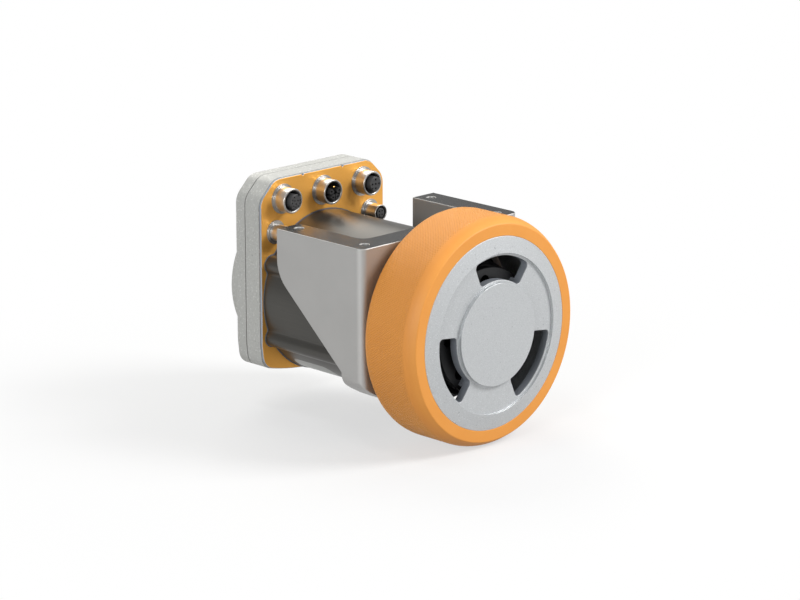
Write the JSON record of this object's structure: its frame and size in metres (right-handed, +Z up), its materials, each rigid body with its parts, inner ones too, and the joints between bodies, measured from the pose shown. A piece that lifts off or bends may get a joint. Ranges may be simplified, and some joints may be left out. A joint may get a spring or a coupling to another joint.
{
  "type": "agv drive wheel unit",
  "caption": "Compact wheel drive: an orange tyred wheel on a planetary gearbox and a lobed servo motor, in a milled bracket, with a connector housing at the rear.",
  "frame": {"origin": "middle of the four chassis bolt holes, on the bracket's top face", "axes": "+Z up, out of the bracket's top face; +Y along the wheel's axis, from the wheel to the connector housing; +X across, to the right when the wheel's face is looked at"},
  "size_m": [0.125, 0.163, 0.1303],
  "materials": {
    "tyre_polyurethane": "cast orange polyurethane, satin, fine diagonal hatch on the tread",
    "rim_aluminium": "fine blasted and anodised light silver",
    "black_steel": "black oxide on steel",
    "black_flange": "black anodised, satin",
    "black_housing": "black anodised, satin",
    "gear_steel": "case hardened steel, ground",
    "bearing_steel": "ground bearing steel",
    "bronze": "sintered bronze",
    "black_rubber": "moulded black rubber",
    "bracket_grey": "grey anodised aluminium, satin, bright chamfers",
    "motor_grey": "dark grey anodised extrusion, satin",
    "blank_plate": "thin satin sheet, bare",
    "shield_aluminium": "turned aluminium",
    "stator_iron": "laminated electrical steel",
    "copper": "enamelled copper winding",
    "magnet": "nickel plated magnet",
    "housing_cast": "cast and blasted aluminium, fine speckle",
    "panel_orange": "orange anodised sheet, satin, bright edge",
    "board_green": "green solder mask",
    "brass_standoff": "turned brass",
    "capacitor_can": "drawn aluminium can",
    "chip_black": "moulded black package",
    "socket_nickel": "polished nickel plating",
    "insert_black": "moulded black insulator",
    "gold_contact": "gold plated contact"
  },
  "bodies": {
    "frame": {"gearbox_housing": "black_housing", "gearbox_screws": "black_steel", "ring_gear": "gear_steel", "shaft_seal": "black_rubber", "output_bearing_outer": "bearing_steel", "output_bearing_rollers": "bearing_steel", "mounting_bracket": "bracket_grey", "motor_body": "motor_grey", "underside_plate": "blank_plate", "motor_front_shield": "shield_aluminium", "motor_rear_shield": "shield_aluminium", "front_bearing_outer": "bearing_steel", "front_bearing_rollers": "bearing_steel", "rear_bearing_outer": "bearing_steel", "rear_bearing_rollers": "bearing_steel", "stator_core": "stator_iron", "stator_coils": "copper", "tie_rods": "black_steel", "front_shell": "housing_cast", "rear_cover": "housing_cast", "housing_gasket": "black_rubber", "cover_screws": "black_steel", "connector_panel": "panel_orange", "motor_collar": "black_rubber", "controller_board": "board_green", "board_standoffs": "brass_standoff", "board_capacitors": "capacitor_can", "board_chips": "chip_black", "signal_socket_shell": "socket_nickel", "signal_socket_insert": "insert_black", "power_socket_shell": "socket_nickel", "power_socket_insert": "insert_black", "bus_socket_shell": "socket_nickel", "bus_socket_insert": "insert_black", "service_socket_shell": "socket_nickel", "service_socket_insert": "insert_black", "sensor_socket_shell": "socket_nickel", "sensor_socket_insert": "insert_black", "socket_nuts": "socket_nickel", "power_pin": "gold_contact"},
    "wheel": {"tyre_tread": "tyre_polyurethane", "wheel_rim": "rim_aluminium", "hub_cover": "rim_aluminium", "wheel_screws": "black_steel", "output_flange": "black_flange", "carrier_plate": "gear_steel", "planet_pins": "gear_steel", "output_bearing_inner": "bearing_steel"},
    "rotor": {"motor_shaft": "gear_steel", "rotor_core": "stator_iron", "rotor_magnets": "magnet", "encoder_magnet": "magnet", "front_bearing_inner": "bearing_steel", "rear_bearing_inner": "bearing_steel"},
    "planet_1": {"planet_gear_1": "gear_steel", "planet_bush_1": "bronze"},
    "planet_2": {"planet_gear_2": "gear_steel", "planet_bush_2": "bronze"},
    "planet_3": {"planet_gear_3": "gear_steel", "planet_bush_3": "bronze"}
  },
  "joints": [
    {"name": "wheel_spin", "type": "hinge", "parent": "frame", "child": "wheel", "pos_m": [0, -0.0722, -0.049], "axis": [0, 1, 0], "continuous": true},
    {"name": "rotor_spin", "type": "hinge", "parent": "frame", "child": "rotor", "pos_m": [0, 0.0218, -0.049], "axis": [0, 1, 0], "continuous": true},
    {"name": "planet_1_spin", "type": "hinge", "parent": "wheel", "child": "planet_1", "pos_m": [0, -0.0373, -0.031], "axis": [0, 1, 0], "continuous": true},
    {"name": "planet_2_spin", "type": "hinge", "parent": "wheel", "child": "planet_2", "pos_m": [-0.01559, -0.0373, -0.058], "axis": [0, 1, 0], "continuous": true},
    {"name": "planet_3_spin", "type": "hinge", "parent": "wheel", "child": "planet_3", "pos_m": [0.01559, -0.0373, -0.058], "axis": [0, 1, 0], "continuous": true}
  ],
  "couplings": [
    {"joint": "rotor_spin", "follows": "wheel_spin", "ratio": 6},
    {"joint": "planet_1_spin", "follows": "wheel_spin", "ratio": -2.5},
    {"joint": "planet_2_spin", "follows": "wheel_spin", "ratio": -2.5},
    {"joint": "planet_3_spin", "follows": "wheel_spin", "ratio": -2.5}
  ]
}
